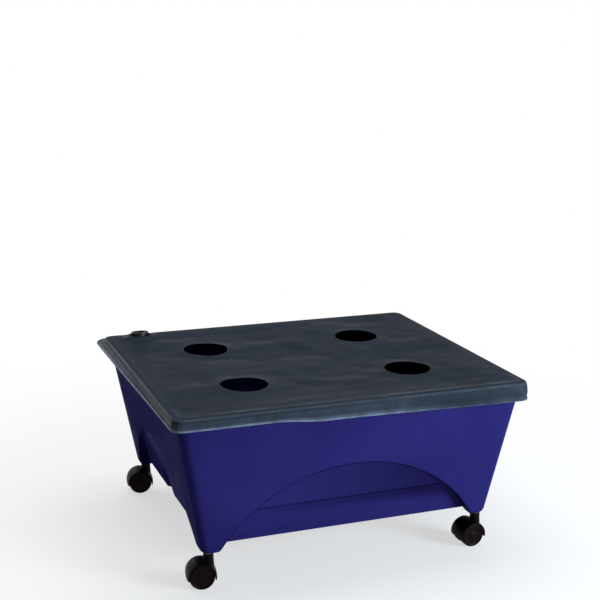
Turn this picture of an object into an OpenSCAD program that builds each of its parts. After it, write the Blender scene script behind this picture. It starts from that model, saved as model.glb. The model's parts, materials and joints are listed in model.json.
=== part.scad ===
// Self-watering raised bed planter: a tapered tub on four arched legs, with a perforated
// screen above a water reservoir, a fill tube, a film mulch cover and four twin-wheel casters.
// X runs along the long side, -Y is the front, and Z = 0 is the floor. All sizes are millimetres.

/* [Rim] */
// Length of the rim, from end to end
rim_l = 617; // [600:1:660]
// Depth of the rim, from front to back
rim_w = 515; // [500:1:550]
// Height of the rim above the floor
rim_z = 300; // [285:1:330]
// Plan radius of the rim's corners
rim_corner_r = 16; // [15:0.5:20]
// How far the rim reaches out past the wall
lip_out = 5.5; // [4.5:0.5:7]
// Height of the rim's turned-down lip
lip_h = 16; // [10:1:17]
// Thickness of the lip
lip_t = 2.5; // [1.8:0.1:2.8]
// Thickness of the rim's flange
flange_t = 2.7; // [2:0.1:2.9]

/* [Tub] */
// Thickness of the moulded wall
wall_t = 3; // [2.4:0.1:3.4]
// How far each end wall leans in from rim to foot
end_taper = 47; // [40:1:52]
// How far the front and back walls lean in from rim to foot
side_taper = 29; // [24:1:33]
// Radius of the upright corners at the rim
corner_r_top = 18; // [14:1:22]
// Radius of the upright corners at the feet
corner_r_foot = 14; // [10:1:16]

/* [Legs and arches] */
// Width of each leg at its foot
leg_w = 27; // [25:0.5:32]
// Drop from the tub's underside to the feet
leg_drop = 10.5; // [8:0.5:13]
// Height of the arches above the feet
arch_rise = 130.5; // [115:0.5:140]
// Height of the crease across each recessed panel, above the feet
crease_rise = 65.5; // [62:0.5:70]
// Depth of the recess at the top of its arch
recess_top = 2.5; // [1.5:0.5:4]
// Depth of the recess at the crease
recess_crease = 12; // [9:0.5:13]
// Depth of the recess at the tub's underside
recess_base = 18; // [15:0.5:19]
// Wall round each caster socket
boss_t = 2.3; // [2:0.1:2.6]
// Rounding of each leg's lower edge
foot_round = 8; // [5:0.5:9]

/* [Overflow] */
// Place of the overflow channel along the left end, from the middle
channel_y = 30; // [-40:1:50]
// Width of the channel
channel_w = 44; // [36:1:50]
// Depth of the channel
channel_d = 10; // [8:0.5:12]
// Height of the channel above the tub's underside
channel_h = 40; // [34:1:44]
// Diameter of the overflow hole
overflow_d = 9; // [7:0.5:11]

/* [Screen] */
// Thickness of the aeration screen
screen_t = 3; // [2.5:0.1:3.5]
// Height of the stiffening ribs under the screen
screen_rib_h = 8; // [6:0.5:10]
// Play between the screen and the tub
screen_play = 2; // [1.5:0.1:3]
// Diameter of the air holes
air_hole_d = 8; // [6:0.5:9]
// Spacing of the air holes
air_hole_pitch = 29; // [27:1:36]
// Thickness of the wall brackets under the screen's edge
bracket_t = 3; // [2:0.5:4]
// Reach of the wall brackets
bracket_reach = 12; // [9:0.5:14]
// Height of the wall brackets
bracket_h = 22; // [16:1:28]

/* [Wicking cups] */
// Distance from the end of the feet to the middle of a cup
cup_end_margin = 106; // [96:1:116]
// Distance from the front and back of the feet to the middle of a cup
cup_side_margin = 115; // [107:1:123]
// Radius of a cup's mouth
cup_r_top = 37; // [34:0.5:40]
// Radius of a cup's base
cup_r_base = 28; // [26:0.5:30]
// Width of a cup's flange
cup_flange = 6; // [4:0.5:7]
// Thickness of a cup's wall
cup_t = 2; // [1.6:0.1:2.4]
// Number of slots round a cup
cup_slots = 10; // [8:1:12]
// Width of a slot
cup_slot_w = 4; // [3:0.5:5]

/* [Fill tube] */
// Outer radius of the fill tube
tube_r = 13; // [12:0.5:14]
// Wall of the fill tube
tube_t = 1.5; // [1.2:0.1:2]
// Reach of the rolled lip round its mouth
tube_lip = 3; // [2:0.5:3.5]
// Height of the lip
tube_lip_h = 4; // [3:0.5:6]
// Height of the mouth above the rim
tube_rise = 11; // [9:0.5:14]
// Gap between the tube's foot and the end wall
tube_end_gap = 1.5; // [0.5:0.5:6]
// Gap between the tube and the back wall
tube_back_gap = 5; // [4:0.5:7]
// Width of each notch in the tube's foot
notch_w = 8; // [5:0.5:10]
// Height of each notch
notch_h = 9; // [6:0.5:12]

/* [Mulch cover] */
// Thickness of the film
film_t = 0.8; // [0.6:0.1:1]
// Radius of the film's folded top edge
film_edge_r = 4; // [3.2:0.1:4.5]
// Height of the skirt at the left end
skirt_left = 19; // [18:0.5:22]
// Height of the skirt at the right end
skirt_right = 32; // [26:0.5:36]
// Outer radius of the hem
hem_r = 1.5; // [1.4:0.1:1.8]
// Radius of the elastic in the hem
elastic_r = 0.75; // [0.6:0.05:0.8]
// Height of the collar that the film makes round the fill tube
collar_h = 5; // [3:0.5:6]
// Width of the collar's slope
collar_slope = 6; // [4:0.5:9]
// Play between the collar and the tube's lip
collar_play = 2; // [1.5:0.1:3]
// Diameter of the planting openings
plant_d = 80; // [64:1:90]
// Place of the planting openings, along the length
plant_x = 150; // [130:1:160]
// Place of the planting openings, across the depth
plant_y = 112; // [95:1:120]

/* [Casters] */
// Diameter of the wheels
wheel_d = 42; // [38:0.5:43]
// Width of one wheel
wheel_w = 13.2; // [12:0.2:14]
// Distance from the swivel's axis back to the axle
trail = 12; // [11:0.5:15]
// Height of a caster, from the floor to the foot
caster_h = 58; // [57:0.5:62]
// Width of the hood
hood_w = 38; // [37:0.5:41]
// Thickness of the hood
hood_t = 2.5; // [2:0.1:2.8]
// Drop of the hood's crown towards its two sides
hood_crown = 1.8; // [1.2:0.1:2]
// Gap between the wheels and the hood
hood_gap = 1.5; // [1.3:0.1:1.8]
// Angle by which the hood reaches below the axle
hood_drop = 11; // [8:1:15]
// Thickness of the web between the wheels
web_t = 7; // [6:0.2:7.6]
// Radius of the neck
neck_r = 8.5; // [8:0.1:9]
// Height of the straight part at the top of the neck
neck_straight = 8; // [6:0.5:10]
// Radius of the stem in its socket
stem_r = 5.5; // [5.2:0.1:5.8]
// Length of the stem in its socket
stem_l = 22; // [20:0.5:25]
// Radius of the swivel pin
pin_r = 3.95; // [3.5:0.05:4.2]
// Length of the swivel pin
pin_l = 12; // [10:0.5:12.5]
// Radius of the axle
axle_r = 2.5; // [2:0.1:3]

/* [Hidden] */
POSTS = ["front_left", "front_right", "back_left", "back_right"];

$fn = 96;
eps = 0.01;
// Length of tools that cut right through
far = 900;

// Side of each corner, as [x, y], and how each caster stands: the turn about its stem
SIDES = [[-1, -1], [1, -1], [-1, 1], [1, 1]];
TURNS = [-8, 4, -8, -30];

// Clearances between pieces
seat_gap = 0.3;
running_gap = 0.05;
press_gap = 0.02;
socket_gap = 0.3;

// Heights
foot_z = caster_h;
base_z = foot_z + leg_drop;
floor_z = base_z + wall_t;
arch_z = foot_z + arch_rise;
crease_z = foot_z + crease_rise;
screen_z = crease_z - screen_t / 2;

// Half sizes of the tub's outside at the rim and at the feet
top_x = rim_l / 2 - lip_out;
top_y = rim_w / 2 - lip_out;
foot_x = top_x - end_taper;
foot_y = top_y - side_taper;
stem_x = foot_x - leg_w / 2;
stem_y = foot_y - leg_w / 2;
cup_x = foot_x - cup_end_margin;
cup_y = foot_y - cup_side_margin;

// Share of the way down from the rim to the feet
function down(z) = (rim_z - z) / (rim_z - foot_z);
function wall_x(z) = top_x - end_taper * down(z);
function wall_y(z) = top_y - side_taper * down(z);
function corner_r(z) = corner_r_top + (corner_r_foot - corner_r_top) * down(z);

// An arch is one arc from leg to leg, and its radius follows from its chord and rise
function arch_r(chord) = (chord * chord + arch_rise * arch_rise) / (2 * arch_rise);
chord_x = foot_x - leg_w;
chord_y = foot_y - leg_w;

// Half the width of an arch at height z, with its radius made larger by grow
function arch_half(chord, z, grow) =
    sqrt(pow(arch_r(chord) + grow, 2) - pow(z - arch_z + arch_r(chord), 2));

// Depth of the recess at height z: two slopes that meet at the crease
function recess(z) = z > crease_z
    ? recess_crease + (recess_top - recess_crease) * (z - crease_z) / (arch_z - crease_z)
    : recess_crease + (recess_base - recess_crease) * (crease_z - z) / (crease_z - base_z);

module rounded_rect(hx, hy, r) {
    square([2 * (hx - r), 2 * hy], center = true);
    square([2 * hx, 2 * (hy - r)], center = true);
    for (s = SIDES)
        translate([s.x * (hx - r), s.y * (hy - r)])
            circle(r = r);
}

// One thin level of the tub's tapered block, drawn in by inset
module tapered_slice(inset, z) {
    r = corner_r(z) - inset;
    for (s = SIDES)
        translate([s.x * (wall_x(z) - inset - r), s.y * (wall_y(z) - inset - r), z])
            cylinder(r = r, h = eps, $fn = 48);
}

// The tapered block from the feet up to height z, drawn in by inset and rounded in at the feet
module tapered_block(inset, z) {
    steps = 3;
    r = foot_round - inset;
    hull() {
        for (i = [0:steps]) {
            angle = 90 * i / steps;
            tapered_slice(inset + r * (1 - sin(angle)), foot_z + inset + r * (1 - cos(angle)));
        }
        tapered_slice(inset, z - eps);
    }
}

// A profile carried round a rounded rectangle: x is the distance out from it, y the height
module carried_round(hx, hy, r) {
    for (s = [0, 1]) {
        mirror([0, s, 0])
            translate([0, hy, 0])
                rotate([90, 0, 90])
                    linear_extrude(2 * (hx - r), center = true)
                        children();
        mirror([s, 0, 0])
            translate([hx, 0, 0])
                rotate([90, 0, 0])
                    linear_extrude(2 * (hy - r), center = true)
                        children();
    }
    for (i = [0:3]) {
        s = [[1, 1], [-1, 1], [-1, -1], [1, -1]][i];
        translate([s.x * (hx - r), s.y * (hy - r), 0])
            rotate([0, 0, 90 * i])
                rotate_extrude(angle = 90)
                    translate([r, 0])
                        children();
    }
}

// The barrel that an arch is cut with, along Y
module arch_barrel(chord, grow) {
    translate([0, 0, arch_z - arch_r(chord)])
        rotate([90, 0, 0])
            cylinder(r = arch_r(chord) + grow, h = far, center = true, $fn = 200);
}

// The space outside one recessed panel, on the +Y side, with its surfaces moved in by grow
module panel_space(face_top, taper, chord, grow) {
    face = function (z) face_top - taper * down(z) - recess(z) - grow;
    low_z = foot_z - 5;
    high_z = arch_z + 5;
    intersection() {
        arch_barrel(chord, grow);
        rotate([90, 0, 90])
            linear_extrude(far, center = true)
                polygon([
                    [face(high_z), high_z], [face(crease_z), crease_z], [face(low_z), low_z],
                    [face_top + far / 4, low_z], [face_top + far / 4, high_z]
                ]);
    }
}

module all_panel_spaces(grow) {
    for (s = [0, 1]) {
        mirror([0, s, 0])
            panel_space(top_y, side_taper, chord_x, grow);
        mirror([s, 0, 0])
            rotate([0, 0, -90])
                panel_space(top_x, end_taper, chord_y, grow);
    }
}

// The space between the legs, up to the tub's underside, with its surfaces moved in by grow
module between_legs(grow) {
    intersection() {
        translate([0, 0, base_z + grow - far / 2])
            cube(far, center = true);
        union() {
            arch_barrel(chord_x, grow);
            rotate([0, 0, 90])
                arch_barrel(chord_y, grow);
        }
    }
}

socket_r = stem_r + socket_gap;
socket_top = foot_z + stem_l + 2;
boss_r = socket_r + boss_t;
boss_top = socket_top + wall_t;

module at_stems() {
    for (s = SIDES)
        translate([s.x * stem_x, s.y * stem_y, 0])
            children();
}

// The overflow channel's round back, along the slope of the lower end panel
module channel_barrel(grow) {
    channel_r = (channel_w * channel_w / 4 + channel_d * channel_d) / (2 * channel_d);
    panel_base = wall_x(base_z) - recess_base;
    panel_crease = wall_x(crease_z) - recess_crease;
    lean = atan((panel_crease - panel_base) / (crease_z - base_z));
    translate([-panel_base, channel_y, base_z])
        rotate([0, -lean, 0])
            translate([channel_d - channel_r, 0, -20])
                cylinder(r = channel_r + grow, h = 20 + channel_h + grow);
}

module overflow_hole() {
    translate([-wall_x(base_z), channel_y, base_z + channel_h - overflow_d])
        rotate([0, 90, 0])
            cylinder(d = overflow_d, h = 60, $fn = 32);
}

// Brackets on the inside of the lower panels carry the screen's edge
bracket_places_x = [-120, -40, 40, 120];
bracket_places_y = [-110, 110];
module bracket(panel) {
    translate([-bracket_t / 2, panel(screen_z) - bracket_reach, screen_z - bracket_h])
        cube([bracket_t, bracket_reach + wall_t, bracket_h]);
}
module bracket_slope(panel) {
    translate([0, panel(screen_z) - bracket_reach, screen_z - bracket_h])
        rotate([atan(bracket_h / bracket_reach) - 90, 0, 0])
            translate([-bracket_t, -2 * bracket_h, -bracket_h])
                cube([2 * bracket_t, 2 * bracket_h, 4 * bracket_h]);
}
function panel_in_x(z) = wall_x(z) - recess(z) - wall_t;
function panel_in_y(z) = wall_y(z) - recess(z) - wall_t;
module all_brackets() {
    in_x = function (z) panel_in_x(z);
    in_y = function (z) panel_in_y(z);
    for (s = [0, 1]) {
        mirror([0, s, 0])
            for (x = bracket_places_x)
                translate([x, 0, 0])
                    difference() {
                        bracket(in_y);
                        bracket_slope(in_y);
                    }
        mirror([s, 0, 0])
            for (y = bracket_places_y)
                translate([0, y, 0])
                    rotate([0, 0, -90])
                        difference() {
                            bracket(in_x);
                            bracket_slope(in_x);
                        }
    }
}

module lip_profile() {
    edge_r = film_edge_r - film_t - seat_gap;
    flange_reach = 12;
    translate([-flange_reach, -flange_t])
        square([flange_reach - edge_r, flange_t]);
    translate([-lip_t, -lip_h])
        square([lip_t, lip_h - edge_r]);
    translate([-edge_r, -edge_r])
        circle(r = edge_r, $fn = 48);
}

// The legs are hollow and closed at the foot, and each caster socket is a post inside its leg
module cavity() {
    difference() {
        tapered_block(wall_t, rim_z + 5);
        all_panel_spaces(wall_t);
        between_legs(wall_t);
        channel_barrel(wall_t);
        at_stems()
            cylinder(r = boss_r, h = boss_top);
        all_brackets();
    }
}

module planter_box() {
    color("darkslateblue")
        difference() {
            union() {
                tapered_block(0, rim_z);
                translate([0, 0, rim_z])
                    carried_round(rim_l / 2, rim_w / 2, rim_corner_r)
                        lip_profile();
            }
            all_panel_spaces(0);
            between_legs(0);
            channel_barrel(0);
            cavity();
            at_stems()
                translate([0, 0, foot_z - 1])
                    cylinder(r = socket_r, h = socket_top - foot_z + 1);
            overflow_hole();
        }
}

// The screen follows the tub's inside at its own height: ears reach into the four corners
screen_x = wall_x(screen_z) - wall_t - screen_play;
screen_y = wall_y(screen_z) - wall_t - screen_play;
panel_x = panel_in_x(screen_z) - screen_play;
panel_y = panel_in_y(screen_z) - screen_play;
ear_x = arch_half(chord_x, screen_z, wall_t) + screen_play;
ear_y = arch_half(chord_y, screen_z, wall_t) + screen_play;

module screen_outline() {
    difference() {
        rounded_rect(screen_x, screen_y, corner_r(screen_z) - wall_t);
        for (s = [-1, 1]) {
            translate([0, s * (panel_y + far / 2)])
                square([2 * ear_x, far], center = true);
            translate([s * (panel_x + far / 2), 0])
                square([far, 2 * ear_y], center = true);
        }
    }
}

cup_hole_r = cup_r_top - cup_t + 1;
screen_rib_t = 2;

// True where an air hole of the grid lies clear of the cups, the ribs and the tube
function is_free(x, y) =
    norm([abs(x) - cup_x, abs(y) - cup_y]) > cup_r_top + cup_flange + air_hole_d
    && norm([x + tube_x, y - tube_y(screen_z)]) > tube_r + 2 * air_hole_d;

module air_holes() {
    columns = floor((panel_x - air_hole_d) / air_hole_pitch - 0.5);
    rows = floor((panel_y - air_hole_d) / air_hole_pitch - 0.5);
    for (i = [-columns - 1:columns], j = [-rows - 1:rows]) {
        x = (i + 0.5) * air_hole_pitch;
        y = (j + 0.5) * air_hole_pitch;
        if (is_free(x, y))
            translate([x, y])
                circle(d = air_hole_d, $fn = 24);
    }
}

module aeration_screen() {
    rib_place_y = cup_y - cup_r_top - cup_flange - 3;
    color("dimgray")
        difference() {
            union() {
                translate([0, 0, screen_z])
                    linear_extrude(screen_t)
                        difference() {
                            screen_outline();
                            air_holes();
                            for (s = SIDES)
                                translate([s.x * cup_x, s.y * cup_y])
                                    circle(r = cup_hole_r);
                        }
                translate([0, 0, screen_z - screen_rib_h])
                    linear_extrude(screen_rib_h) {
                        for (s = [-1, 1])
                            translate([0, s * rib_place_y])
                                square([2 * (cup_x + cup_r_top), screen_rib_t], center = true);
                        square([screen_rib_t, 2 * rib_place_y], center = true);
                    }
            }
            tube_line(tube_r + 1.5, screen_z - 20, screen_z + 20);
        }
}

module wicking_cup() {
    height = screen_z - floor_z;
    wall_inside = cup_r_base - cup_t;
    color("dimgray")
        difference() {
            union() {
                cylinder(r1 = cup_r_base, r2 = cup_r_top, h = height);
                translate([0, 0, height - cup_t])
                    cylinder(r = cup_r_top + cup_flange, h = cup_t);
            }
            translate([0, 0, cup_t])
                cylinder(r1 = wall_inside, r2 = cup_r_top - cup_t, h = height - cup_t);
            translate([0, 0, height - eps])
                cylinder(r = cup_r_top - cup_t, h = 1);
            for (i = [0:cup_slots - 1])
                rotate([0, 0, 360 / cup_slots * i])
                    translate([wall_inside / 2, -cup_slot_w / 2, 10])
                        cube([cup_r_top, cup_slot_w, height - 20]);
            for (i = [0:5])
                rotate([0, 0, 60 * i])
                    translate([wall_inside / 2, 0, -1])
                        cylinder(r = 3, h = cup_t + 2, $fn = 24);
        }
}

// The fill tube leans with the back wall and stands on a caster boss, clear of the end wall
tube_lean = atan(side_taper / (rim_z - foot_z));
tube_foot_z = boss_top + seat_gap + tube_r * sin(tube_lean);
tube_x = wall_x(boss_top) - wall_t - tube_end_gap - tube_r;
function tube_y(z) = wall_y(z) - wall_t - tube_back_gap - tube_r;
mouth_z = rim_z + tube_rise;

// The film's collar stands clear of the tube's lip
collar_top_r = tube_r + tube_lip + collar_play;
collar_base_r = collar_top_r + collar_slope;

// Things drawn along the tube's line, up from the height z
module at_tube(z) {
    translate([-tube_x, tube_y(z), z])
        rotate([-tube_lean, 0, 0])
            children();
}

// A cylinder along the tube's line, between the heights z0 and z1
module tube_line(r, z0, z1) {
    at_tube(z0)
        cylinder(r = r, h = (z1 - z0) / cos(tube_lean), $fn = 64);
}

// Water leaves the tube through the notches in its foot
module fill_tube() {
    color("dimgray")
        difference() {
            union() {
                tube_line(tube_r, tube_foot_z, mouth_z);
                tube_line(tube_r + tube_lip, mouth_z - tube_lip_h, mouth_z);
            }
            tube_line(tube_r - tube_t, tube_foot_z - 5, mouth_z + 5);
            at_tube(tube_foot_z)
                for (turn = [45, 135])
                    rotate([0, 0, turn])
                        cube([4 * tube_r, notch_w, 2 * notch_h], center = true);
        }
}

// The film stands off the rim by the seat gap, all round and on top
film_x = rim_l / 2 + seat_gap;
film_y = rim_w / 2 + seat_gap;
film_corner_r = rim_corner_r + seat_gap;
film_z = rim_z + seat_gap;
film_top = film_z + film_t;
hem_bore_r = elastic_r + 0.15;
hem_tilt = atan((skirt_right - skirt_left) / (2 * film_x));
hem_mid_z = film_top - (skirt_left + skirt_right) / 2;
// The hem bulges outwards, so that the skirt slides off over the rim
hem_out = hem_r - 0.1;
hem_corner_r = film_corner_r - 0.5;

module film_profile() {
    skirt_long = skirt_right + 5;
    translate([0, -skirt_long])
        square([film_t, skirt_long - film_edge_r]);
    translate([film_t - film_edge_r, -film_edge_r])
        difference() {
            intersection() {
                circle(r = film_edge_r, $fn = 64);
                square(film_edge_r + 1);
            }
            circle(r = film_edge_r - film_t, $fn = 64);
        }
}

module in_hem_plane() {
    translate([0, 0, hem_mid_z])
        rotate([0, hem_tilt, 0])
            children();
}

// A profile carried round the hem
module along_hem() {
    in_hem_plane()
        carried_round(film_x / cos(hem_tilt), film_y, hem_corner_r)
            translate([hem_out, 0])
                children();
}

module at_collar() {
    translate([-tube_x, tube_y(mouth_z - tube_lip_h / 2), film_z])
        children();
}

module film_collar() {
    rotate_extrude()
        polygon([
            [collar_base_r, 0], [collar_base_r + film_t, film_t],
            [collar_top_r + film_t, collar_h], [collar_top_r, collar_h]
        ]);
}

module mulch_cover() {
    flat_x = film_x + film_t - film_edge_r;
    flat_y = film_y + film_t - film_edge_r;
    color("darkslategray") {
        at_collar()
            film_collar();
        difference() {
            union() {
                difference() {
                    translate([0, 0, film_top])
                        carried_round(film_x, film_y, film_corner_r)
                            film_profile();
                    in_hem_plane()
                        translate([0, 0, hem_r / 2 - far / 2])
                            cube(far, center = true);
                }
                translate([0, 0, film_z])
                    linear_extrude(film_t)
                        rounded_rect(flat_x, flat_y, film_corner_r + film_t - film_edge_r);
                along_hem()
                    difference() {
                        circle(r = hem_r, $fn = 32);
                        circle(r = hem_bore_r, $fn = 32);
                    }
            }
            for (s = SIDES)
                translate([s.x * plant_x, s.y * plant_y, rim_z - 5])
                    cylinder(d = plant_d, h = 12);
            at_collar()
                cylinder(r = collar_base_r, h = 12, center = true);
        }
    }
}

module hem_elastic() {
    color("gray")
        along_hem()
            circle(r = elastic_r, $fn = 24);
}

// A caster stands with its stem's axis on Z and its wheels trailing towards -X
wheel_r = wheel_d / 2;
hood_r = wheel_r + hood_gap + hood_t;
wheel_side_gap = 0.8;
wheel_in = web_t / 2 + wheel_side_gap;
wheel_out = wheel_in + wheel_w;
stem_flange_t = 1.2;
stem_flange_r = stem_r + 1.8;
neck_top = foot_z - stem_flange_t - seat_gap;
ring_h = 5;
ring_depth = 0.6;
ring_play = 0.1;
ring_z = foot_z + stem_l / 2;

// Things drawn with Z along the axle, from the middle of the caster outwards
module along_axle(side = 1) {
    translate([-trail, 0, wheel_r])
        rotate([-90 * side, 0, 0])
            children();
}

// A flat shape in the plane of the wheels, drawn from the axle, with a width along it
module across_caster(width) {
    translate([-trail, 0, wheel_r])
        rotate([90, 0, 0])
            linear_extrude(width, center = true)
                children();
}

// The part of a disc of radius r that the hood spans
module hood_sector(r) {
    reach = 3 * r;
    low = reach * tan(hood_drop);
    intersection() {
        circle(r = r);
        polygon([[0, 0], [reach, -low], [reach, reach], [-reach, reach], [-reach, -low]]);
    }
}

// The hood's shell in section, crowned across its width: x is the distance from the axle
module hood_profile() {
    crown_r = (hood_w * hood_w / 4 + hood_crown * hood_crown) / (2 * hood_crown);
    intersection() {
        translate([hood_r - crown_r, 0])
            difference() {
                circle(r = crown_r, $fn = 360);
                circle(r = crown_r - hood_t, $fn = 360);
            }
        translate([hood_r / 2, -hood_w / 2])
            square([hood_r, hood_w]);
    }
}

module caster_housing() {
    hub_r = 8;
    // The neck widens below its straight part, and dies into the front of the hood
    flare_r = hood_r - hood_t - trail;
    flare_h = neck_top - neck_straight - wheel_r;
    color("black")
        difference() {
            union() {
                translate([-trail, 0, wheel_r])
                    rotate([90, hood_drop, 0])
                        rotate_extrude(angle = 180 + 2 * hood_drop)
                            hood_profile();
                across_caster(web_t) {
                    hood_sector(hood_r - hood_t / 2);
                    circle(r = hub_r);
                }
                difference() {
                    union() {
                        translate([0, 0, wheel_r])
                            cylinder(r = neck_r, h = neck_top - wheel_r);
                        translate([0, 0, wheel_r])
                            cylinder(r1 = flare_r, r2 = neck_r, h = flare_h);
                    }
                    across_caster(far)
                        circle(r = hood_r - hood_t / 2);
                }
            }
            translate([0, 0, neck_top - pin_l - 1])
                cylinder(r = pin_r + running_gap, h = pin_l + 2, $fn = 48);
            across_caster(2 * web_t)
                circle(r = axle_r + press_gap, $fn = 48);
        }
}

module caster_stem() {
    color("silver")
        difference() {
            union() {
                translate([0, 0, foot_z - stem_flange_t])
                    cylinder(r = stem_flange_r, h = stem_flange_t);
                translate([0, 0, foot_z - eps])
                    cylinder(r = stem_r, h = stem_l - 1.5 + eps, $fn = 48);
                translate([0, 0, foot_z + stem_l - 1.5])
                    cylinder(r1 = stem_r, r2 = stem_r - 1.2, h = 1.5, $fn = 48);
                translate([0, 0, neck_top - pin_l])
                    cylinder(r = pin_r, h = pin_l + 1, $fn = 48);
            }
            translate([0, 0, ring_z - ring_h / 2])
                difference() {
                    cylinder(r = stem_r + 1, h = ring_h, $fn = 48);
                    cylinder(r = stem_r - ring_depth, h = ring_h, $fn = 48);
                }
        }
}

module caster_grip_ring() {
    slit = 2;
    color("gainsboro")
        translate([0, 0, ring_z])
            difference() {
                cylinder(r = socket_r - ring_play, h = ring_h - 2 * ring_play, center = true, $fn = 48);
                cylinder(r = stem_r - ring_depth + ring_play, h = ring_h, center = true, $fn = 48);
                translate([stem_r, 0, 0])
                    cube([2 * stem_r, slit, ring_h], center = true);
            }
}

axle_end_gap = 0.6;
axle_bore_end = wheel_out - 2.5;
module caster_axle() {
    color("silver")
        along_axle()
            cylinder(r = axle_r, h = 2 * (axle_bore_end - axle_end_gap), center = true, $fn = 48);
}

module wheel_profile() {
    edge_r = 3;
    face_t = 3;
    hub_r = 6.5;
    tread_t = 3.5;
    face_dip = 0.8;
    difference() {
        union() {
            translate([0, wheel_in])
                square([wheel_r, wheel_w - edge_r]);
            translate([0, wheel_out - edge_r])
                square([wheel_r - edge_r, edge_r]);
            translate([wheel_r - edge_r, wheel_out - edge_r])
                circle(r = edge_r, $fn = 48);
        }
        translate([hub_r, wheel_in - 1])
            square([wheel_r - tread_t - hub_r, wheel_w - face_t]);
        translate([hub_r, wheel_out - face_dip])
            square([wheel_r - tread_t - hub_r, face_dip + 1]);
        translate([-1, wheel_in - 1])
            square([axle_r + running_gap + 1, axle_bore_end - wheel_in + 1]);
        translate([-wheel_r, wheel_in - 1])
            square([wheel_r, wheel_w + 2]);
    }
}

module caster_wheel(side) {
    spoke_t = 1.6;
    color("black")
        along_axle(side) {
            rotate_extrude($fn = 96)
                wheel_profile();
            for (i = [0:5])
                rotate([0, 0, 60 * i])
                    translate([axle_r + 2, -spoke_t / 2, wheel_in + 1.5])
                        cube([wheel_r - axle_r - 4, spoke_t, wheel_w - 4]);
        }
}

// Puts a piece at each of the four corners, as its own node
module at_corner(i) {
    translate([SIDES[i].x * stem_x, SIDES[i].y * stem_y, 0])
        rotate([0, 0, TURNS[i]])
            children();
}

module cup_at(i) {
    translate([SIDES[i].x * cup_x, SIDES[i].y * cup_y, floor_z])
        wicking_cup();
}

module part(piece, i) {
    if (piece == "wicking_cup_") cup_at(i);
    if (piece == "caster_stem_") at_corner(i) caster_stem();
    if (piece == "caster_grip_ring_") at_corner(i) caster_grip_ring();
    if (piece == "caster_housing_") at_corner(i) caster_housing();
    if (piece == "caster_axle_") at_corner(i) caster_axle();
    if (piece == "caster_wheel_left_") at_corner(i) caster_wheel(1);
    if (piece == "caster_wheel_right_") at_corner(i) caster_wheel(-1);
}

planter_box();
aeration_screen();
fill_tube();
mulch_cover();
hem_elastic();
for (i = [0:3]) {
    part("wicking_cup_", i);
    part("caster_stem_", i);
    part("caster_grip_ring_", i);
    part("caster_housing_", i);
    part("caster_axle_", i);
    part("caster_wheel_left_", i);
    part("caster_wheel_right_", i);
}
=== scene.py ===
# Looks of the self-watering raised bed planter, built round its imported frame. All sizes are metres.
import json
import math

import bmesh
import bpy
from mathutils import Matrix, Vector, noise

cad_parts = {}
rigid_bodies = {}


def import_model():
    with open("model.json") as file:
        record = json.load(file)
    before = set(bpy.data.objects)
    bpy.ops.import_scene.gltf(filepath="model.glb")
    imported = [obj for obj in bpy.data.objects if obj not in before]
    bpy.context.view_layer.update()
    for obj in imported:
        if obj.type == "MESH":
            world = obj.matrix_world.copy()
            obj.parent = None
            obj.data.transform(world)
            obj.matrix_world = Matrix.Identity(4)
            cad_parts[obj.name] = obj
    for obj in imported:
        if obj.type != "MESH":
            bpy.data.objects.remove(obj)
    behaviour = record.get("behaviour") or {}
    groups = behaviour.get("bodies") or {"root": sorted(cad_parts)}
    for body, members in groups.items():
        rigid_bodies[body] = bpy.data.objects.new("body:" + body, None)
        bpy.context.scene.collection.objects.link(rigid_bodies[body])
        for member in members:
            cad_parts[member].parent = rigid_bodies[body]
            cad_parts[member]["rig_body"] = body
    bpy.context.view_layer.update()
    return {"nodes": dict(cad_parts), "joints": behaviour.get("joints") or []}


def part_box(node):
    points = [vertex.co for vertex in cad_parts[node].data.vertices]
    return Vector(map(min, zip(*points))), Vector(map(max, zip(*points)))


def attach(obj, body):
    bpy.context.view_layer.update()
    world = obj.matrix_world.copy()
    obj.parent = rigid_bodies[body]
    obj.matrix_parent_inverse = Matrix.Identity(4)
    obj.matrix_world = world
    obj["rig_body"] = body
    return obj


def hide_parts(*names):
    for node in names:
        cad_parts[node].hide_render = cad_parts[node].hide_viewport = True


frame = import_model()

NODES = frame["nodes"]
JOINTS = {joint["name"]: joint for joint in frame["joints"]}
CORNERS = ["front_left", "front_right", "back_left", "back_right"]
WHEEL_HANDS = ["left", "right"]
UP = Vector((0, 0, 1))
WHITE = (1, 1, 1, 1)

# Sockets of a colour mix: its share, its two colours and its result
MIX_SHARE, MIX_FIRST, MIX_SECOND, MIX_RESULT = 0, 6, 7, 2


# Nodes and objects

def new_node(tree, kind, values=None, **settings):
    """Adds a shader node with its settings and the values of its unlinked inputs."""
    node = tree.nodes.new("ShaderNode" + kind)
    for name, value in settings.items():
        setattr(node, name, value)
    for socket, value in (values or {}).items():
        node.inputs[socket].default_value = value
    return node


def link_nodes(tree, pairs):
    for source, target in pairs:
        tree.links.new(source, target)


def emptied_tree(owner):
    """The node tree of a material or world, with nothing in it."""
    owner.use_nodes = True
    owner.node_tree.nodes.clear()
    return owner.node_tree


def add_object(name, data):
    thing = bpy.data.objects.new(name, data)
    bpy.context.scene.collection.objects.link(thing)
    return thing


# Camera, floor and lamps

CAMERA_PLACE = Vector((-0.7427, -1.8970, 0.8960))
CAMERA_TURNS = (-21.14, 13.485, 0.725)
CAMERA_LENS_MM, CAMERA_SENSOR_MM = 71.08, 36

FLOOR_R = 30
FLOOR_TONE = (0.95, 0.95, 0.952, 1)
FLOOR_BOUNCE_TONE = (0.58, 0.58, 0.60, 1)
FLOOR_FADE = {"From Min": 0.35, "From Max": 1.2, "To Min": 0.6}

WORLD_TONE, WORLD_STRENGTH = (0.93, 0.96, 1.0, 1), 0.13
WORLD_WALL = {"From Min": 0.03, "From Max": 0.2, "To Min": 1, "To Max": 0}


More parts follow.
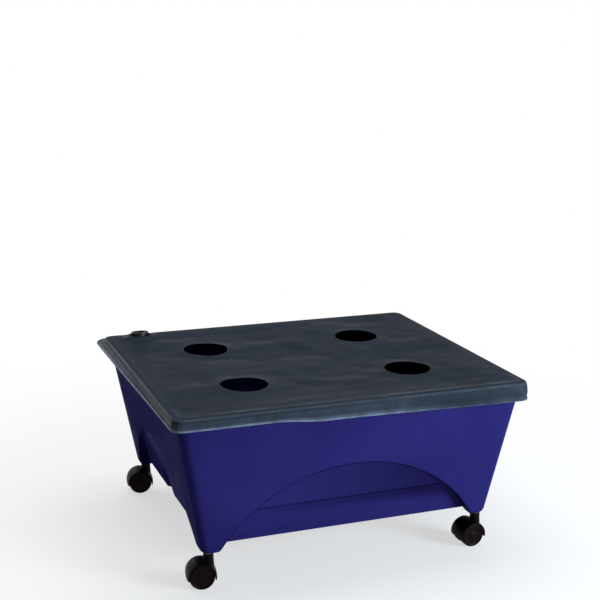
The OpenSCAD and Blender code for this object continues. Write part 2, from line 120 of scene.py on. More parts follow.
def make_camera():
    """The photograph's own viewpoint, for a square frame."""
    yaw, pitch, roll = (math.radians(turn) for turn in CAMERA_TURNS)
    back = Vector((math.sin(yaw) * math.cos(pitch), -math.cos(yaw) * math.cos(pitch),
                   math.sin(pitch)))
    right = (-back).cross(UP).normalized()
    up = back.cross(right)
    right_rolled = right * math.cos(roll) + up * math.sin(roll)
    up_rolled = up * math.cos(roll) - right * math.sin(roll)
    data = bpy.data.cameras.new("camera")
    data.lens = CAMERA_LENS_MM
    data.sensor_width = CAMERA_SENSOR_MM
    camera = add_object("camera", data)
    turned = Matrix((right_rolled, up_rolled, back)).transposed()
    camera.matrix_world = Matrix.Translation(CAMERA_PLACE) @ turned.to_4x4()
    bpy.context.scene.camera = camera


def seen_directly(tree, seen):
    """1 for the rays of the camera, and for those that metal, gloss and clear things send on."""
    found = seen.outputs["Is Camera Ray"]
    for name in ("Is Glossy Ray", "Is Transmission Ray"):
        either = new_node(tree, "Math", operation="MAXIMUM")
        link_nodes(tree, [(found, either.inputs[0]), (seen.outputs[name], either.inputs[1])])
        found = either.outputs["Value"]
    return found


def make_floor():
    """A pale floor that keeps the planter's shadow near by and is plain white further out."""
    shape = bmesh.new()
    bmesh.ops.create_circle(shape, cap_ends=True, segments=96, radius=FLOOR_R)
    mesh = bpy.data.meshes.new("floor")
    shape.to_mesh(mesh)
    shape.free()
    floor = add_object("floor", mesh)
    material = bpy.data.materials.new("pale_floor")
    tree = emptied_tree(material)
    output = new_node(tree, "OutputMaterial")
    paint = new_node(tree, "BsdfDiffuse")
    tone = new_node(tree, "Mix", {MIX_FIRST: FLOOR_TONE, MIX_SECOND: FLOOR_BOUNCE_TONE},
                    data_type="RGBA")
    white = new_node(tree, "Emission", {"Strength": 1})
    blend = new_node(tree, "MixShader")
    place = new_node(tree, "TexCoord")
    distance = new_node(tree, "VectorMath", operation="LENGTH")
    fade = new_node(tree, "MapRange", FLOOR_FADE, interpolation_type="SMOOTHSTEP")
    seen = new_node(tree, "LightPath")
    share = new_node(tree, "Math", operation="MULTIPLY")
    link_nodes(tree, [
        (seen.outputs["Is Diffuse Ray"], tone.inputs[MIX_SHARE]),
        (tone.outputs[MIX_RESULT], paint.inputs["Color"]),
        (place.outputs["Object"], distance.inputs[0]),
        (distance.outputs["Value"], fade.inputs["Value"]),
        (fade.outputs["Result"], share.inputs[0]),
        (seen_directly(tree, seen), share.inputs[1]),
        (share.outputs["Value"], blend.inputs["Fac"]),
        (paint.outputs["BSDF"], blend.inputs[1]),
        (white.outputs["Emission"], blend.inputs[2]),
        (blend.outputs["Shader"], output.inputs["Surface"]),
    ])
    mesh.materials.append(material)


def make_lamp(name, place, target, size, power, colour=(1, 1, 1)):
    """A rectangular lamp that faces its target."""
    data = bpy.data.lights.new(name, "AREA")
    data.shape = "RECTANGLE"
    data.size, data.size_y = size
    data.energy = power
    data.color = colour
    lamp = add_object(name, data)
    lamp.location = place
    lamp.rotation_mode = "QUATERNION"
    lamp.rotation_quaternion = (Vector(target) - Vector(place)).to_track_quat("-Z", "Y")


def make_lamps():
    make_lamp("key_right", place=(1.45, -1.75, 0.62), target=(0.1, 0, 0.15), size=(0.9, 0.9),
              power=60, colour=(0.75, 0.90, 1))
    make_lamp("top_soft", place=(0.1, 0.5, 2.3), target=(0, 0, 0.2), size=(2.2, 1.6), power=40)
    make_lamp("back_strip", place=(-0.9, 2.2, 0.95), target=(-0.1, 0, 0.3), size=(1.6, 0.5),
              power=7, colour=(0.9, 0.95, 1))


def make_world():
    """White behind the planter and low down in what it mirrors, and dim light elsewhere."""
    world = bpy.data.worlds.new("studio")
    bpy.context.scene.world = world
    tree = emptied_tree(world)
    output = new_node(tree, "OutputWorld")
    soft = new_node(tree, "Background", {"Color": WORLD_TONE, "Strength": WORLD_STRENGTH})
    white = new_node(tree, "Background", {"Color": WHITE, "Strength": 1})
    blend = new_node(tree, "MixShader")
    seen = new_node(tree, "LightPath")
    way = new_node(tree, "TexCoord")
    parts = new_node(tree, "SeparateXYZ")
    wall = new_node(tree, "MapRange", WORLD_WALL, interpolation_type="SMOOTHSTEP")
    low = new_node(tree, "Math", operation="MULTIPLY")
    share = new_node(tree, "Math", operation="MAXIMUM")
    link_nodes(tree, [
        (way.outputs["Generated"], parts.inputs["Vector"]),
        (parts.outputs["Z"], wall.inputs["Value"]),
        (wall.outputs["Result"], low.inputs[0]),
        (seen_directly(tree, seen), low.inputs[1]),
        (low.outputs["Value"], share.inputs[0]),
        (seen.outputs["Is Camera Ray"], share.inputs[1]),
        (share.outputs["Value"], blend.inputs["Fac"]),
        (soft.outputs["Background"], blend.inputs[1]),
        (white.outputs["Background"], blend.inputs[2]),
        (blend.outputs["Shader"], output.inputs["Surface"]),
    ])


make_camera()
make_floor()
make_lamps()
make_world()
bpy.context.scene.view_settings.view_transform = "Standard"


# Finishes

class Finish:
    """A node material on Object coordinates, with a few shorthands for its nodes."""

    def __init__(self, name, roughness, metallic=0.0, specular=0.5):
        self.material = bpy.data.materials.new(name)
        self.tree = emptied_tree(self.material)
        self.base = None
        output = new_node(self.tree, "OutputMaterial")
        self.shader = new_node(self.tree, "BsdfPrincipled", {
            "Roughness": roughness, "Metallic": metallic, "Specular IOR Level": specular})
        self.place = new_node(self.tree, "TexCoord").outputs["Object"]
        self.link(self.shader.outputs["BSDF"], output.inputs["Surface"])

    def link(self, source, target):
        self.tree.links.new(source, target)

    def noise(self, scale, detail, roughness, stretch=None):
        node = new_node(self.tree, "TexNoise",
                        {"Scale": scale, "Detail": detail, "Roughness": roughness})
        place = self.place
        if stretch:
            mapping = new_node(self.tree, "Mapping", {"Scale": stretch})
            self.link(place, mapping.inputs["Vector"])
            place = mapping.outputs["Vector"]
        self.link(place, node.inputs["Vector"])
        return node.outputs["Fac"]

    def ramp(self, value, stops):
        """stops are (position, colour)."""
        node = new_node(self.tree, "ValToRGB")
        while len(node.color_ramp.elements) < len(stops):
            node.color_ramp.elements.new(0.5)
        for element, (position, colour) in zip(node.color_ramp.elements, stops):
            element.position = position
            element.color = colour
        self.link(value, node.inputs["Fac"])
        return node.outputs["Color"]

    def range(self, value, low, high, to_low, to_high):
        node = new_node(self.tree, "MapRange", {
            "From Min": low, "From Max": high, "To Min": to_low, "To Max": to_high})
        self.link(value, node.inputs["Value"])
        return node.outputs["Result"]

    def math(self, operation, first, second=0):
        node = new_node(self.tree, "Math", operation=operation)
        for socket, value in zip(node.inputs, [first, second]):
            if isinstance(value, (int, float)):
                socket.default_value = value
            else:
                self.link(value, socket)
        return node.outputs["Value"]

    def most(self, values):
        """The greatest of several values."""
        found = values[0]
        for other in values[1:]:
            found = self.math("MAXIMUM", found, other)
        return found

    def mix(self, share, first, second):
        node = new_node(self.tree, "Mix", data_type="RGBA")
        for socket, value in ((MIX_SHARE, share), (MIX_FIRST, first), (MIX_SECOND, second)):
            if hasattr(value, "is_linked"):
                self.link(value, node.inputs[socket])
            else:
                node.inputs[socket].default_value = value
        return node.outputs[MIX_RESULT]

    def axes(self):
        """The three coordinates of a point."""
        node = new_node(self.tree, "SeparateXYZ")
        self.link(self.place, node.inputs["Vector"])
        return [node.outputs[name] for name in "XYZ"]

    def bump(self, layers):
        """layers are (height, strength, distance); the first lies under the others."""
        normal = None
        for height, strength, distance in layers:
            node = new_node(self.tree, "Bump", {"Strength": strength, "Distance": distance})
            self.link(height, node.inputs["Height"])
            if normal:
                self.link(normal, node.inputs["Normal"])
            normal = node.outputs["Normal"]
        self.link(normal, self.shader.inputs["Normal"])

    def colour(self, value):
        self.link(value, self.shader.inputs["Base Color"])

    def roughness(self, value):
        self.link(value, self.shader.inputs["Roughness"])


def moulded_plastic(name, dark, plain, light, roughness, grain=1.0, specular=0.3):
    """Moulded polypropylene: cloudy colour, a fine eroded grain and slow flow waves."""
    finish = Finish(name, roughness, specular=specular)
    clouds = finish.noise(9, detail=4, roughness=0.55)
    specks = finish.noise(900, detail=2, roughness=0.6)
    base = finish.ramp(clouds, [(0.25, dark), (0.5, plain), (0.78, light)])
    finish.base = finish.mix(finish.range(specks, 0.35, 0.75, 0.0, 0.22), base, light)
    finish.colour(finish.base)
    worn = finish.noise(38, detail=5, roughness=0.65)
    finish.roughness(finish.range(worn, 0.3, 0.75, roughness - 0.07, roughness + 0.09))
    finish.bump([
        (finish.noise(14, detail=2, roughness=0.4), 0.25 * grain, 0.0012),
        (finish.noise(1400, detail=2, roughness=0.5), 0.16 * grain, 0.00025),
    ])
    return finish


# The arches on the tub's sides, each the height of its middle and its radius
LONG_ARCH = (-0.0777, 0.2662)
END_ARCH = (-0.0239, 0.2124)
CREASE_Z = 0.1235
# Distances between which a painted shade line fades out, and across which a panel's painted light
# begins
ARCH_SHADE_LINE = (0.0005, 0.0030)
CREASE_SHADE_LINE = (0.0004, 0.0024)
PAINTED_LIGHT_PANEL_EDGE = (-0.004, -0.001)
PAINTED_LIGHT_CREASE_BLEND = 0.001
# The painted light on each upper panel, and the painted shade of the arch and crease lines
PAINTED_LIGHT_PANEL_TONE = (0.0380, 0.0318, 0.184, 1)
PAINTED_SHADE_LINE_TONE = (0.006, 0.005, 0.038, 1)


def tub_finish():
    """The tub's blue, with painted light at the top of each panel and a painted shade line in its
    arch and crease.
    """
    finish = moulded_plastic("tub_blue", (0.0200, 0.0162, 0.110, 1), (0.0226, 0.0184, 0.124, 1),
                             (0.0262, 0.0214, 0.137, 1), 0.5, specular=0.0015)
    x, y, z = finish.axes()
    crease = finish.math("ABSOLUTE", finish.math("SUBTRACT", z, CREASE_Z))
    shade_lines, painted_light_panels = [], []
    for across, (middle, radius) in ((x, LONG_ARCH), (y, END_ARCH)):
        rise = finish.math("SUBTRACT", z, middle)
        square = finish.math("ADD", finish.math("MULTIPLY", across, across),
                             finish.math("MULTIPLY", rise, rise))
        past = finish.math("SUBTRACT", finish.math("SQRT", square), radius)
        inside = finish.range(past, *PAINTED_LIGHT_PANEL_EDGE, 1, 0)
        painted_light_panels.append(inside)
        shade_lines.append(finish.range(finish.math("ABSOLUTE", past), *ARCH_SHADE_LINE, 1, 0))
        shade_lines.append(finish.math("MULTIPLY", finish.range(crease, *CREASE_SHADE_LINE, 0.95, 0), inside))
    patchy = finish.range(finish.noise(30, detail=4, roughness=0.6), 0.3, 0.7, 0.55, 0.95)
    upper_painted_light = finish.range(z, CREASE_Z - PAINTED_LIGHT_CREASE_BLEND, CREASE_Z + PAINTED_LIGHT_CREASE_BLEND, 0, 0.5)
    # Painted light mixed into the panels above the crease, inside each arch
    tone = finish.mix(finish.math("MULTIPLY", finish.most(painted_light_panels), upper_painted_light), finish.base, PAINTED_LIGHT_PANEL_TONE)
    # Painted shade mixed in along the arch and crease lines
    finish.colour(finish.mix(finish.math("MULTIPLY", finish.most(shade_lines), patchy), tone, PAINTED_SHADE_LINE_TONE))
    return finish.material


def brushed_metal(name, colour, roughness):
    finish = Finish(name, roughness, metallic=1.0)
    tarnish = finish.noise(300, detail=4, roughness=0.6)
    dull = tuple(0.75 * channel for channel in colour[:3]) + (1,)
    finish.colour(finish.mix(finish.range(tarnish, 0.35, 0.7, 0, 0.6), colour, dull))
    finish.roughness(finish.range(tarnish, 0.3, 0.7, roughness - 0.08, roughness + 0.1))
    brushing = finish.noise(2500, detail=2, roughness=0.5, stretch=(1, 1, 8))
    finish.bump([(brushing, 0.1, 0.0001)])
    return finish.material


def cover_film():
    """Dark film, with a painted highlight where its own 'hem' attribute says so."""
    finish = Finish("cover_film", 0.34, specular=0.035)
    clouds = finish.noise(6, detail=4, roughness=0.6)
    base = finish.ramp(clouds, [(0.3, (0.016, 0.022, 0.032, 1)), (0.7, (0.027, 0.034, 0.048, 1))])
    # The 'hem' attribute marks where the film gets a pale blue-white painted highlight
    painted_highlight = new_node(finish.tree, "Attribute", attribute_name="hem")
    streaks = finish.range(finish.noise(45, detail=4, roughness=0.65), 0.35, 0.65, 0.45, 1)
    pale = finish.math("MULTIPLY", painted_highlight.outputs["Fac"], streaks)
    finish.colour(finish.mix(pale, base, (0.22, 0.27, 0.36, 1)))
    dust = finish.noise(55, detail=5, roughness=0.7)
    finish.roughness(finish.range(dust, 0.3, 0.75, 0.28, 0.44))
    finish.bump([
        (finish.noise(22, detail=3, roughness=0.5), 0.25, 0.002),
        (finish.noise(160, detail=3, roughness=0.55), 0.08, 0.0006),
    ])
    return finish.material


TUB_BLUE = tub_finish()
SCREEN_BLACK = moulded_plastic(
    "screen_black", (0.010, 0.010, 0.011, 1), (0.016, 0.016, 0.018, 1), (0.03, 0.03, 0.033, 1),
    roughness=0.5).material
CASTER_BLACK = moulded_plastic(
    "caster_black", (0.0026, 0.0012, 0.0015, 1), (0.0036, 0.0016, 0.0020, 1),
    (0.0060, 0.0032, 0.0038, 1), roughness=0.38, specular=0.05).material
WHEEL_BLACK = moulded_plastic(
    "wheel_black", (0.0036, 0.0012, 0.0015, 1), (0.0050, 0.0016, 0.0020, 1),
    (0.0080, 0.0032, 0.0038, 1), roughness=0.42, specular=0.05).material
TUBE_BLACK = moulded_plastic(
    "tube_black", (0.012, 0.012, 0.014, 1), (0.018, 0.018, 0.022, 1), (0.03, 0.03, 0.036, 1),
    roughness=0.34, grain=0.5, specular=0.2).material
FILM = cover_film()
ZINC = brushed_metal("dark_zinc_steel", (0.10, 0.095, 0.098, 1), roughness=0.42)
ELASTIC = moulded_plastic(
    "elastic_black", (0.01, 0.01, 0.011, 1), (0.02, 0.02, 0.022, 1), (0.03, 0.03, 0.032, 1),
    roughness=0.6).material
SPRING = brushed_metal("spring_steel", (0.5, 0.5, 0.52, 1), roughness=0.28)


def dress(node, material):
    """Gives a CAD node that stays in view its finish."""
    slots = NODES[node].data.materials
    slots.clear()
    slots.append(material)


def dress_all():
    dress("aeration_screen", SCREEN_BLACK)
    for corner in CORNERS:
        dress("wicking_cup_" + corner, SCREEN_BLACK)
        dress("caster_stem_" + corner, ZINC)
        dress("caster_grip_ring_" + corner, SPRING)
        dress("caster_axle_" + corner, ZINC)


# Shorthands for the new pieces

MERGE_WITHIN = 0.00002


def smooth_step(value, low, high):
    share = min(max((value - low) / (high - low), 0.0), 1.0)
    return share * share * (3 - 2 * share)


def wave(x, y, z):
    return noise.noise(Vector((x, y, z)))


def copied(node):
    """A copy of a CAD node with its doubled points merged."""
    shape = bmesh.new()
    shape.from_mesh(NODES[node].data)
    bmesh.ops.remove_doubles(shape, verts=shape.verts, dist=MERGE_WITHIN)
    return shape


def make_piece(name, shape, material, body, replaced, sharp):
    """Turns a bmesh into a piece that rides on its body and stands for CAD nodes."""
    mesh = bpy.data.meshes.new(name)
    shape.to_mesh(mesh)
    shape.free()
    mesh.shade_smooth()
    mesh.set_sharp_from_angle(angle=math.radians(sharp))
    mesh.materials.append(material)
    piece = add_object(name, mesh)
    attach(piece, body)
    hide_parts(*replaced)
    return piece


# The film cover: its flat top, the fold round the rim, the skirt and the hem rolled at its foot

# The fold's radius, the film's thickness, and how far its outer face stands off the rim
FILM_EDGE = 0.004
FILM_THICK = 0.0005
FILM_STAND = 0.0011
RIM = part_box("planter_box")[1]
RIM_TOP = RIM.z + FILM_STAND
# The flat top's half size and corner radius, and its grid: all cells, and those across a corner
FLAT_X, FLAT_Y = RIM.x + FILM_STAND - FILM_EDGE, RIM.y + FILM_STAND - FILM_EDGE
FLAT_R = 0.0131
CELLS_X, CELLS_Y, FINE_CELLS = 86, 72, 4

# The slack grows between two distances from the flat top's edge; so does the ridge at its ends
SAG = 0.0035
SLACK_FROM, SLACK_FULL = 0.006, 0.055
SLACK_HIGH, SLACK_FINE_HIGH = 0.0022, 0.0011
CREST_HIGH, CREST_IN, CREST_WIDE = 0.0012, 0.0098, 0.003
CREST_FROM, CREST_FULL = 0.06, 0.03
CREST_LEFT_SHARE = 0.25
CREST_EVEN, CREST_UNEVEN = 0.8, 0.9

OPENING_R = 0.040
OPENINGS_AT = [(x, y) for x in (-0.150, 0.150) for y in (-0.112, 0.112)]
OPENING_LIFT, OPENING_LIFT_WIDE = 0.0012, 0.012
# Where an opening's edge is looked for, as a share of its radius, and how the film evens out there
RIM_REACH = 1.4
SMOOTH_WITHIN, SMOOTH_ROUNDS = 0.02, 3
TUBE_LIP_R = 0.016
TUBE_LOW, TUBE_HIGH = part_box("fill_tube")
TUBE_AT = Vector((TUBE_LOW.x + TUBE_LIP_R, TUBE_HIGH.y - TUBE_LIP_R))
# The collar round the tube falls off over its width, and towards the flat top's edge
COLLAR_R, COLLAR_RISE, COLLAR_WIDE = 0.018, 0.005, 0.017
COLLAR_FROM, COLLAR_FULL = -0.001, 0.008

# The rings of the edge, with the degrees between two rings of the roll
FOLD_STEPS, SKIRT_STEPS, ROLL_STEPS, ROLL_TURN = 4, 6, 7, 41
# The hem's radius, and its middle's distance outside the flat top and below it at the left
HEM_ROLL = 0.0014
HEM_OUT = 0.0050
HEM_LOW = 0.0175
HEM_STEP, HEM_STEP_FROM, HEM_STEP_TO = 0.0065, -0.150, -0.060
HEM_SLOPE, HEM_SLOPE_FROM, HEM_SLOPE_TO = 0.0055, -0.06, 0.31
CORNER_FROM, CORNER_FULL = 0.070, 0.004
CORNER_FLARE = 0.0115
CORNER_LIFT = 0.0085
# The skirt's slack, the half wave that it bulges by, and the share of the skirt where it flares
LOOSE, LOOSE_FINE = 0.0006, 0.0004
BULGE_END = 0.9
FLARE_FROM = 0.2
# The pleats' reach from a corner, their depth, and their waves in radians per metre
PLEAT_REACH, PLEAT_DEEP, PLEAT_WAVES = 0.045, 0.0010, 900
ELASTIC_R = 0.0007

# The film's painted highlight: less to the right, and in the skirt only low down and faintly in front
PALE_LOSS, PALE_LOSS_FROM, PALE_LOSS_TO = 0.75, 0.02, 0.16
PALE_LOW_FROM, PALE_LOW_FULL = 0.75, 0.95
PALE_FRONT, PALE_FRONT_FROM, PALE_FRONT_FULL = 0.10, 0.03, 0.004
PALE_FOLD = 0.2
PALE_PER_CREST_METRE = 220


def grid_place(share, half, fine_cells, cells):
    """Where a grid line lies: an even pitch in the middle and a finer one at rounded corners."""
    count = share * cells / 2
    coarse = cells / 2 - fine_cells
    if abs(count) <= coarse:
        return count / coarse * (half - FLAT_R)
    return math.copysign(half - FLAT_R + (abs(count) - coarse) / fine_cells * FLAT_R, count)


def round_corner(x, y):
    """Bends the grid's square corners to the film's rounded ones."""
    far_x, far_y = abs(x) - (FLAT_X - FLAT_R), abs(y) - (FLAT_Y - FLAT_R)
    if far_x <= 0 or far_y <= 0:
        return x, y
    new_x = far_x * math.sqrt(1 - (far_y / FLAT_R) ** 2 / 2)
    new_y = far_y * math.sqrt(1 - (far_x / FLAT_R) ** 2 / 2)
    return math.copysign(FLAT_X - FLAT_R + new_x, x), math.copysign(FLAT_Y - FLAT_R + new_y, y)


def outwards(place):
    """The way that points straight out of the film's outline at a point of its edge."""
    inner = Vector((min(max(place.x, FLAT_R - FLAT_X), FLAT_X - FLAT_R),
                    min(max(place.y, FLAT_R - FLAT_Y), FLAT_Y - FLAT_R), 0))
    return (Vector((place.x, place.y, 0)) - inner).normalized()


def lifted_corner(place):
    """1 at the back left corner, where the elastic has crept up and the hem stands off."""
    near_left = smooth_step(-place.x, FLAT_X - CORNER_FROM, FLAT_X - CORNER_FULL)
    return near_left * smooth_step(place.y, -FLAT_Y, FLAT_Y)


def skirt_drop(place):
    """How far the hem's middle hangs below the film's top: less at the left than at the right."""
    step = HEM_STEP * smooth_step(place.x, HEM_STEP_FROM, HEM_STEP_TO)
    longer = HEM_SLOPE * smooth_step(place.x, HEM_SLOPE_FROM, HEM_SLOPE_TO)
    return HEM_LOW + step + longer - CORNER_LIFT * lifted_corner(place)


def hem_out(place):
    """How far the hem's middle stands out from the film's flat top."""
    return HEM_OUT + CORNER_FLARE * lifted_corner(place)


def crest(x, y):
    """The low ridge by the rim's inner edge: full along the front, faint at the left end."""
    inside = min(FLAT_X - abs(x), FLAT_Y - abs(y))
    left = smooth_step(-x, FLAT_X - CREST_FROM, FLAT_X - CREST_FULL)
    front = smooth_step(-y, FLAT_Y - CREST_FROM, FLAT_Y - CREST_FULL)
    here = CREST_LEFT_SHARE * left + front
    uneven = max(CREST_EVEN + CREST_UNEVEN * wave(x * 14, y * 14, 7), 0)
    return CREST_HIGH * min(here, 1) * math.exp(-((inside - CREST_IN) / CREST_WIDE) ** 2) * uneven


def film_height(x, y):
    """The film's top: taut over the rim, slack inside it, and drawn up round the fill tube."""
    inside = min(FLAT_X - abs(x), FLAT_Y - abs(y))
    free = smooth_step(inside, SLACK_FROM, SLACK_FULL)
    middle = (1 - (x / FLAT_X) ** 2) * (1 - (y / FLAT_Y) ** 2)
    sag = -SAG * free * middle
    slack = free * (SLACK_HIGH * wave(x * 9, y * 13, 2)
                    + SLACK_FINE_HIGH * wave(x * 24, y * 31, 5))
    near = min((Vector((x, y)) - Vector(at)).length - OPENING_R for at in OPENINGS_AT)
    lifted = OPENING_LIFT * math.exp(-(near / OPENING_LIFT_WIDE) ** 2)
    from_tube = (Vector((x, y)) - TUBE_AT).length - COLLAR_R
    collar = COLLAR_RISE * (1 - smooth_step(from_tube, COLLAR_FROM, COLLAR_WIDE))
    collar *= smooth_step(inside, COLLAR_FROM, COLLAR_FULL)
    return RIM_TOP + sag + slack + lifted + crest(x, y) + collar


def looseness(place):
    """How far the skirt's slack and the pleats at its corners bulge out."""
    loose = LOOSE * (1 + wave(place.x * 22, place.y * 22, 9))
    loose += LOOSE_FINE * (1 + wave(place.x * 60, place.y * 60, 4))
    corner = smooth_step(abs(place.x), FLAT_X - PLEAT_REACH, FLAT_X)
    corner *= smooth_step(abs(place.y), FLAT_Y - PLEAT_REACH, FLAT_Y)
    return loose + PLEAT_DEEP * corner * (1 + math.sin(PLEAT_WAVES * (place.x - place.y)))


def edge_steps():
    """The rings of the film's edge: a fold and a roll in degrees, and the skirt's share between."""
    steps = [("fold", 90 * step / FOLD_STEPS) for step in range(1, FOLD_STEPS + 1)]
    steps += [("skirt", step / SKIRT_STEPS) for step in range(1, SKIRT_STEPS + 1)]
    steps += [("roll", 180 + ROLL_TURN * step) for step in range(1, ROLL_STEPS + 1)]
    return steps


def edge_place(kind, value, base):
    """How far a ring lies out from the film's flat top, and how far below it."""
    if kind == "fold":
        angle = math.radians(value)
        return FILM_EDGE * math.sin(angle), FILM_EDGE * (1 - math.cos(angle))
    drop = skirt_drop(base)
    if kind == "skirt":
        out_by = FILM_EDGE + looseness(base) * math.sin(math.pi * value * BULGE_END)
        out_by += (hem_out(base) - HEM_ROLL - FILM_EDGE) * smooth_step(value, FLARE_FROM, 1)
        return out_by, FILM_EDGE + value * (drop - FILM_EDGE)
    angle = math.radians(value)
    return hem_out(base) + HEM_ROLL * math.cos(angle), drop - HEM_ROLL * math.sin(angle)


def edge_painted_highlight(kind, value, base):
    """The painted highlight on the film's edge: most along the hem, and less towards the right."""
    if kind == "fold":
        patches = 1 + wave(base.x * 12, base.y * 12, 3)
        return PALE_FOLD * math.sin(math.radians(2 * value)) * patches
    pale = 1.0 - PALE_LOSS * smooth_step(base.x, PALE_LOSS_FROM, PALE_LOSS_TO)
    if kind == "roll":
        return pale
    front = smooth_step(-base.y, FLAT_Y - PALE_FRONT_FROM, FLAT_Y - PALE_FRONT_FULL)
    return pale * max(smooth_step(value, PALE_LOW_FROM, PALE_LOW_FULL), PALE_FRONT * front)


def open_hole(shape, at, radius, border):
    """Opens a round hole in the film and brings its edge to the circle; the border stays put."""
    centre = Vector((at[0], at[1], 0))
    inner = [face for face in shape.faces if (face.calc_center_median() - centre).length < radius]
    bmesh.ops.delete(shape, geom=inner, context="FACES")
    rim = [vert for vert in shape.verts if vert.is_boundary and vert not in border
           and (vert.co - centre).length < radius * RIM_REACH]
    for vert in rim:
        vert.co = centre + (vert.co - centre).normalized() * radius
    near = [vert for vert in shape.verts
            if not vert.is_boundary and (vert.co - centre).length < radius + SMOOTH_WITHIN]
    for _ in range(SMOOTH_ROUNDS):
        bmesh.ops.smooth_vert(shape, verts=near, factor=0.5, use_axis_x=True, use_axis_y=True)


def in_order(ring):
    """The vertices of a closed ring of edges, one after the other."""
    verts = [ring[0].verts[0], ring[0].verts[1]]
    ring = set(ring)
    while len(verts) < len(ring):
        last, before = verts[-1], verts[-2]
        verts.append(next(side.other_vert(last) for side in last.link_edges
                          if side in ring and side.other_vert(last) is not before))
    return verts


def extrude_ring(shape, ring, ends):
    """Extrudes a ring of edges; each new vertex takes over what ends holds for its old one."""
    grown = bmesh.ops.extrude_edge_only(shape, edges=ring)["geom"]
    new_ends = {}
    for vert in grown:
        if isinstance(vert, bmesh.types.BMVert):
            old = next(side.other_vert(vert) for side in vert.link_edges
                       if side.other_vert(vert) in ends)
            new_ends[vert] = ends[old]
    return [part for part in grown if isinstance(part, bmesh.types.BMEdge)], new_ends


def make_elastic(line):
    """The elastic inside the hem."""
    curve = bpy.data.curves.new("hem_elastic_line", "CURVE")
    curve.dimensions = "3D"
    curve.bevel_depth = ELASTIC_R
    curve.bevel_resolution = 2
    path = curve.splines.new("POLY")
    path.points.add(len(line) - 1)
    path.use_cyclic_u = True
    for point, place in zip(path.points, line):
        point.co = (*place, 1)
    holder = bpy.data.objects.new("hem_line", curve)
    mesh = bpy.data.meshes.new_from_object(holder)
    bpy.data.objects.remove(holder)
    shape = bmesh.new()
    shape.from_mesh(mesh)
    bmesh.ops.recalc_face_normals(shape, faces=shape.faces)
    make_piece("elastic_cord", shape, ELASTIC, "cover", ["hem_elastic"], sharp=80)


def make_film():
    """The film with its openings, and the elastic in its hem."""
    shape = bmesh.new()
    # The 'hem' layer holds a painted highlight along the hem, the fold and the crest
    hem = shape.verts.layers.float.new("hem")
    bmesh.ops.create_grid(shape, x_segments=CELLS_X, y_segments=CELLS_Y, size=1)
    for vert in shape.verts:
        x = grid_place(vert.co.x, FLAT_X, FINE_CELLS, CELLS_X)
        y = grid_place(vert.co.y, FLAT_Y, FINE_CELLS, CELLS_Y)
        vert.co.x, vert.co.y = round_corner(x, y)
    ring = [side for side in shape.edges if side.is_boundary]
    outline = [vert.co.copy() for vert in in_order(ring)]
    border = {vert for side in ring for vert in side.verts}
    for at in OPENINGS_AT:
        open_hole(shape, at, OPENING_R, border)
    open_hole(shape, TUBE_AT, COLLAR_R, border)
    for vert in shape.verts:
        vert.co.z = film_height(vert.co.x, vert.co.y)
        # The crest gets a painted highlight
        vert[hem] = PALE_PER_CREST_METRE * crest(vert.co.x, vert.co.y)
    ends = {vert: (vert.co.copy(), outwards(vert.co)) for side in ring for vert in side.verts}
    for kind, value in edge_steps():
        ring, ends = extrude_ring(shape, ring, ends)
        for vert, (base, way) in ends.items():
            out_by, low = edge_place(kind, value, base)
            vert.co = Vector((base.x, base.y, 0)) + way * out_by + UP * (RIM_TOP - low)
            vert[hem] = edge_painted_highlight(kind, value, base)
    bmesh.ops.recalc_face_normals(shape, faces=shape.faces)
    middle = min(shape.faces, key=lambda face: face.calc_center_median().xy.length)
    if middle.normal.z < 0:
        bmesh.ops.reverse_faces(shape, faces=shape.faces)
    film = make_piece("film_cover", shape, FILM, "cover", ["mulch_cover"], sharp=60)
    wall = film.modifiers.new("thickness", "SOLIDIFY")
    wall.thickness = FILM_THICK
    wall.offset = -1
    soft = film.modifiers.new("soft", "SUBSURF")
    soft.levels = soft.render_levels = 1
    make_elastic([Vector((place.x, place.y, RIM_TOP - skirt_drop(place)))
                  + outwards(place) * hem_out(place) for place in outline])


# The tub and the fill tube, with softer edges

SOFT_FROM_DEGREES = 30
SOFT_SEGMENTS = 2
FLAT_WITHIN_DEGREES = 0.6


def softened(node, material, width):
    """A copy of a CAD node with its faces merged and its outer edges rounded over."""
    shape = copied(node)
    bmesh.ops.dissolve_limit(shape, angle_limit=math.radians(FLAT_WITHIN_DEGREES),
                             verts=shape.verts, edges=shape.edges)
    weight = shape.edges.layers.float.new("bevel_weight_edge")
    for side in shape.edges:
        if side.is_manifold and side.calc_face_angle_signed(0) > math.radians(SOFT_FROM_DEGREES):
            side[weight] = 1.0
    piece = make_piece(node + "_soft", shape, material, NODES[node]["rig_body"], [node],
                       sharp=SOFT_FROM_DEGREES)
    round_over = piece.modifiers.new("round_over", "BEVEL")
    round_over.width = width
    round_over.segments = SOFT_SEGMENTS
    round_over.limit_method = "WEIGHT"
    round_over.harden_normals = True


# The casters

HOOD_VOXEL = 0.0005
HOOD_ROUNDS = 5
AXLE_END = 0.0150
WHEEL_SIDES = 72
WHEEL_MERGE_WITHIN = 0.00001
SPOKES = 6
SPOKE_SIZE = (0.0122, 0.0016, 0.0092)
SPOKE_PLACE = (0.0118, 0, 0.0102)
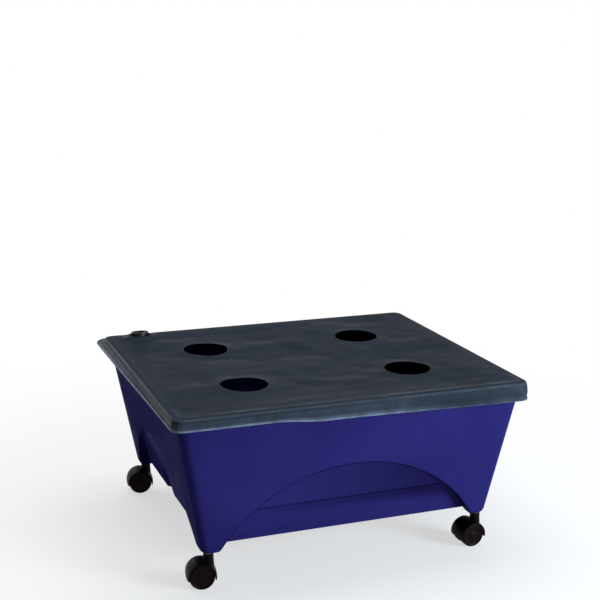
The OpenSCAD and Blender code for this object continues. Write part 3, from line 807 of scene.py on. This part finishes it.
# A wheel's section as (radius, distance from the middle between the two wheels): from the axle's
# end over the dished outer face and the crowned tread, and back round the hollow with the spokes
WHEEL_SECTION = [
    (0.0000, AXLE_END + 0.0001), (0.0000, 0.0171), (0.0046, 0.0173), (0.0056, 0.0168),
    (0.0066, 0.0163), (0.0076, 0.0161), (0.0110, 0.01605), (0.0150, 0.0161), (0.0162, 0.0163),
    (0.0170, 0.0169), (0.0178, 0.0174), (0.0186, 0.0174), (0.0196, 0.0169), (0.0204, 0.0160),
    (0.0209, 0.0146), (0.0210, 0.0110), (0.0209, 0.0062), (0.0205, 0.0048), (0.0198, 0.0044),
    (0.0178, 0.0044), (0.0174, 0.0050), (0.0173, 0.0135), (0.0168, 0.0142), (0.0074, 0.0142),
    (0.0067, 0.0136), (0.0065, 0.0048), (0.0060, 0.0044), (0.0027, 0.0044), (0.00255, 0.0048),
    (0.00255, AXLE_END), (0.0000, AXLE_END + 0.0001),
]


def make_hood(corner):
    """A caster's housing remeshed as one moulded skin, with fillets at its joins."""
    node, name = "caster_housing_" + corner, "hood_" + corner
    shape = copied(node)
    source = bpy.data.meshes.new(name + "_source")
    shape.to_mesh(source)
    shape.free()
    holder = add_object(name + "_source", source)
    remesh = holder.modifiers.new("remesh", "REMESH")
    remesh.mode = "VOXEL"
    remesh.voxel_size = HOOD_VOXEL
    smooth = holder.modifiers.new("smooth", "SMOOTH")
    smooth.iterations = HOOD_ROUNDS
    smooth.factor = 0.5
    graph = bpy.context.evaluated_depsgraph_get()
    skin = bpy.data.meshes.new_from_object(holder.evaluated_get(graph))
    bpy.data.objects.remove(holder)
    shape = bmesh.new()
    shape.from_mesh(skin)
    make_piece(name, shape, CASTER_BLACK, NODES[node]["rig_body"], [node], sharp=60)


def make_wheel(corner, hand):
    """A nylon wheel: crowned tread, dished outer face with a raised rim and hub, spoked inside."""
    name = "wheel_" + hand + "_" + corner
    node = "caster_" + name
    joint = JOINTS[name + "_spin"]
    axis = Vector(joint["axis"]).normalized()
    hub = Vector(joint["pos_m"])
    low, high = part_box(node)
    outward = axis if ((low + high) / 2 - hub).dot(axis) > 0 else -axis
    turn = outward.to_track_quat("Z", "X")
    shape = bmesh.new()
    verts = [shape.verts.new((radius, 0, across)) for radius, across in WHEEL_SECTION]
    edges = [shape.edges.new(pair) for pair in zip(verts, verts[1:])]
    bmesh.ops.spin(shape, geom=verts + edges, cent=(0, 0, 0), axis=(0, 0, 1), angle=2 * math.pi,
                   steps=WHEEL_SIDES, use_merge=True, use_duplicate=False)
    bmesh.ops.remove_doubles(shape, verts=shape.verts, dist=WHEEL_MERGE_WITHIN)
    bmesh.ops.recalc_face_normals(shape, faces=shape.faces)
    for spoke in range(SPOKES):
        bar = bmesh.ops.create_cube(shape, size=1)["verts"]
        bmesh.ops.scale(shape, verts=bar, vec=SPOKE_SIZE)
        bmesh.ops.translate(shape, verts=bar, vec=SPOKE_PLACE)
        bmesh.ops.rotate(shape, verts=bar,
                         matrix=Matrix.Rotation(spoke * 2 * math.pi / SPOKES, 3, "Z"))
    bmesh.ops.transform(shape, matrix=Matrix.Translation(hub) @ turn.to_matrix().to_4x4(),
                        verts=shape.verts)
    make_piece(name, shape, WHEEL_BLACK, NODES[node]["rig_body"], [node], sharp=50)


def make_casters():
    for corner in CORNERS:
        make_hood(corner)
        for hand in WHEEL_HANDS:
            make_wheel(corner, hand)


dress_all()
softened("planter_box", TUB_BLUE, width=0.0009)
softened("fill_tube", TUBE_BLACK, width=0.0004)
make_film()
make_casters()


def plain(corner_pair):
    return [[round(value, 5) for value in corner] for corner in corner_pair]
